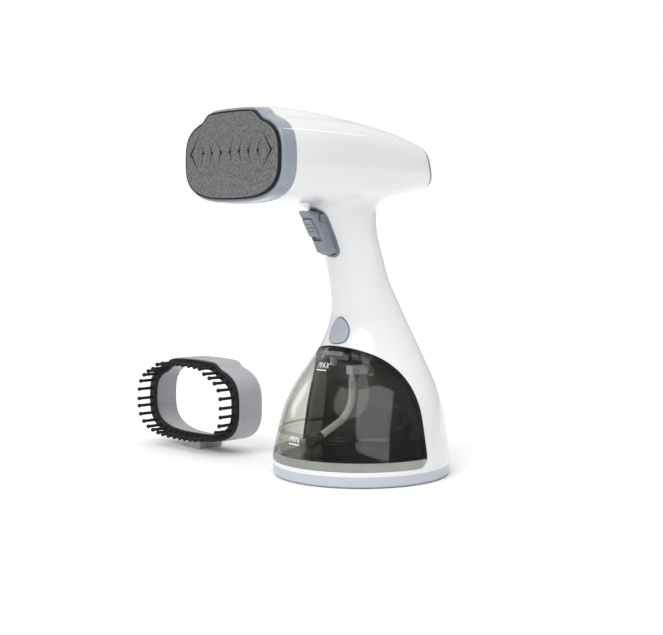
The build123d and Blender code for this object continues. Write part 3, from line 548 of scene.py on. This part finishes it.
def make_plate_groove_shade():
    """Painted shade: a dark sheet in the steam plate's grooves, where shade falls."""
    low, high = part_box("steam_plate")
    middle = 0.5 * (low[2] + high[2]) + HOLES_OVER_MIDDLE
    grid = bmesh.new()
    for outline in groove_outlines():
        top, bottom = [
            [grid.verts.new((x, low[1] + depth, middle + z)) for x, z in outline]
            for depth in (GROOVE_SHADE_TOP, GROOVE_SHADE_BOTTOM)
        ]
        grid.faces.new(top)
        grid.faces.new(list(reversed(bottom)))
        for k in range(3):
            following = (k + 1) % 3
            grid.faces.new((top[k], bottom[k], bottom[following], top[following]))
    # Painted shade: a near-black colour in the groove bottoms stands in for the shade there.
    dark = moulded(
        "painted groove shade", (0.018, 0.018, 0.018), 0.6, grain=1600.0, depth=1e-5, drift=0.2, shine=0.2
    )
    add_piece("plate_grooves", mesh_from("plate_grooves", grid), "steamer", dark)


make_plate_groove_shade()

# ---------------------------------------------------------------- moulded rib on the tank's floor
RIB_LOW = Vector((-17.3, -45.8, 17.6)) * MM
RIB_HIGH = Vector((-10.7, -42.2, 27.1)) * MM
RIB_EDGE = 0.5 * MM


def make_tank_rib():
    """A small upright rib with rounded edges, just off the tank's floor."""
    grid = bmesh.new()
    bmesh.ops.create_cube(grid, size=1.0)
    for vertex in grid.verts:
        share = vertex.co + Vector((0.5, 0.5, 0.5))
        vertex.co = Vector(RIB_LOW[i] + (RIB_HIGH[i] - RIB_LOW[i]) * share[i] for i in range(3))
    edges = list(grid.edges)
    bmesh.ops.bevel(grid, geom=edges, offset=RIB_EDGE, segments=3, affect="EDGES", profile=0.5)
    pale = clear_tube("pale tank rib", (0.5, 0.5, 0.48))
    add_piece("tank_rib", mesh_from("tank_rib", grid), "tank", pale)


make_tank_rib()

# ---------------------------------------------------------------- floor
FLOOR_RADII = (0.2, 0.5, 1.0, 2.0, 5.0, 12.0, 30.0, 80.0)
FLOOR_SECTORS = 48


def make_floor():
    """A wide pale floor in rings that widen, so that it runs out to the horizon."""
    grid = bmesh.new()
    last = [grid.verts.new((0, 0, 0))] * FLOOR_SECTORS
    for radius in FLOOR_RADII:
        turns = [2 * math.pi * k / FLOOR_SECTORS for k in range(FLOOR_SECTORS)]
        ring = [grid.verts.new((radius * math.cos(t), radius * math.sin(t), 0)) for t in turns]
        for k in range(FLOOR_SECTORS):
            following = (k + 1) % FLOOR_SECTORS
            corners = [last[k], ring[k], ring[following], last[following]]
            grid.faces.new(list(dict.fromkeys(corners)))
        last = ring
    mesh = bpy.data.meshes.new("floor")
    grid.to_mesh(mesh)
    grid.free()
    floor = bpy.data.objects.new("floor", mesh)
    bpy.context.scene.collection.objects.link(floor)
    mat, tree, shader, _ = new_material("pale floor")
    pale = two_colours(tree, noise(tree, 3.0), (0.93, 0.93, 0.935), (0.95, 0.95, 0.955))
    tree.links.new(pale, shader.inputs["Base Color"])
    shader.inputs["Roughness"].default_value = 0.6
    shader.inputs["Specular IOR Level"].default_value = 0.2
    mesh.materials.append(mat)


# ---------------------------------------------------------------- camera and background
AZIMUTH = math.radians(45)
DISTANCE = 0.94
EYE_HEIGHT = 0.176
SENSOR = 36.0  # mm
LENS = 68.943  # mm
SHIFT = (-0.04495, -0.12594)  # shares of the frame's width
HORIZON_LIGHT = (0.35, 0.35, 0.355, 1)
SKY_STRENGTH = 1.1


def make_camera():
    """A level camera a little above the object's middle, 45 degrees off its front."""
    data = bpy.data.cameras.new("camera")
    data.sensor_width = SENSOR
    data.lens = LENS
    data.shift_x, data.shift_y = SHIFT
    camera = bpy.data.objects.new("camera", data)
    bpy.context.scene.collection.objects.link(camera)
    camera.location = outward(AZIMUTH) * DISTANCE + Vector((0, 0, EYE_HEIGHT))
    camera.rotation_euler = (math.pi / 2, 0, AZIMUTH)
    bpy.context.scene.camera = camera


def make_world():
    """White where the camera sees it. As light, it is brightest overhead and dimmer round the horizon."""
    world = bpy.data.worlds.new("studio")
    bpy.context.scene.world = world
    world.use_nodes = True
    tree = world.node_tree
    light = tree.nodes["Background"]
    where = tree.nodes.new("ShaderNodeTexCoord")
    split = tree.nodes.new("ShaderNodeSeparateXYZ")
    ramp = tree.nodes.new("ShaderNodeValToRGB")
    ramp.color_ramp.elements[0].position = 0.0
    ramp.color_ramp.elements[0].color = HORIZON_LIGHT
    ramp.color_ramp.elements[1].position = 0.9
    ramp.color_ramp.elements[1].color = (1, 1, 1, 1)
    tree.links.new(where.outputs["Generated"], split.inputs[0])
    tree.links.new(split.outputs["Z"], ramp.inputs["Fac"])
    tree.links.new(ramp.outputs["Color"], light.inputs["Color"])
    light.inputs["Strength"].default_value = SKY_STRENGTH
    white = tree.nodes.new("ShaderNodeBackground")
    white.inputs["Color"].default_value = (1, 1, 1, 1)
    path = tree.nodes.new("ShaderNodeLightPath")
    mix = tree.nodes.new("ShaderNodeMixShader")
    tree.links.new(path.outputs["Is Camera Ray"], mix.inputs["Fac"])
    tree.links.new(light.outputs[0], mix.inputs[1])
    tree.links.new(white.outputs[0], mix.inputs[2])
    tree.links.new(mix.outputs[0], tree.nodes["World Output"].inputs["Surface"])


# ---------------------------------------------------------------- lights
def toward(azimuth, elevation):
    """A unit vector towards a lamp: degrees round from the front, and degrees up."""
    a, e = math.radians(azimuth), math.radians(elevation)
    return Vector((math.sin(a) * math.cos(e), -math.cos(a) * math.cos(e), math.sin(e)))


def sun_light(name, azimuth, elevation, strength, spread):
    """A broad even light from far away."""
    light = bpy.data.lights.new(name, "SUN")
    light.energy = strength
    light.angle = math.radians(spread)
    lamp = bpy.data.objects.new(name, light)
    bpy.context.scene.collection.objects.link(lamp)
    lamp.rotation_euler = toward(azimuth, elevation).to_track_quat("Z", "Y").to_euler()


def area_light(name, place, target, size, watts):
    """A soft rectangular lamp that points at target."""
    light = bpy.data.lights.new(name, "AREA")
    light.shape = "RECTANGLE"
    light.size, light.size_y = size
    light.energy = watts
    lamp = bpy.data.objects.new(name, light)
    bpy.context.scene.collection.objects.link(lamp)
    lamp.location = place
    lamp.rotation_euler = (Vector(target) - Vector(place)).to_track_quat("-Z", "Y").to_euler()
    return lamp


TANK_MIDDLE = Vector((0, -0.03, 0.05))
TANK_LAMP_DISTANCE = 1.2


def tank_light(name, azimuth, elevation, size, roll, watts):
    """A softbox that lights the tank alone, for its reflection."""
    place = TANK_MIDDLE + toward(azimuth, elevation) * TANK_LAMP_DISTANCE
    lamp = area_light(name, place, TANK_MIDDLE, size, watts)
    lamp.rotation_euler.rotate_axis("Z", math.radians(roll))
    lit = bpy.data.collections.new(name + "_lit")
    for node in ("tank_shell", "tank_pan"):
        lit.objects.link(nodes[node])
    lamp.light_linking.receiver_collection = lit


make_floor()
make_world()
make_camera()
sun_light("broad_key", 20, 48, 1.5, 45)
under_fill = area_light("under_fill", (0.22, -0.42, 0.05), (0, -0.05, 0.195), (0.2, 0.15), 0.12)
under_fill.visible_glossy = False
tank_light("tank_softbox", 64, 35, (1.05, 1.02), -13, 14.5)
tank_light("tank_strip", -78, 18, (0.3, 0.45), 0, 1.3)
bpy.context.scene.view_settings.view_transform = "Standard"
bpy.context.scene.view_settings.look = "None"
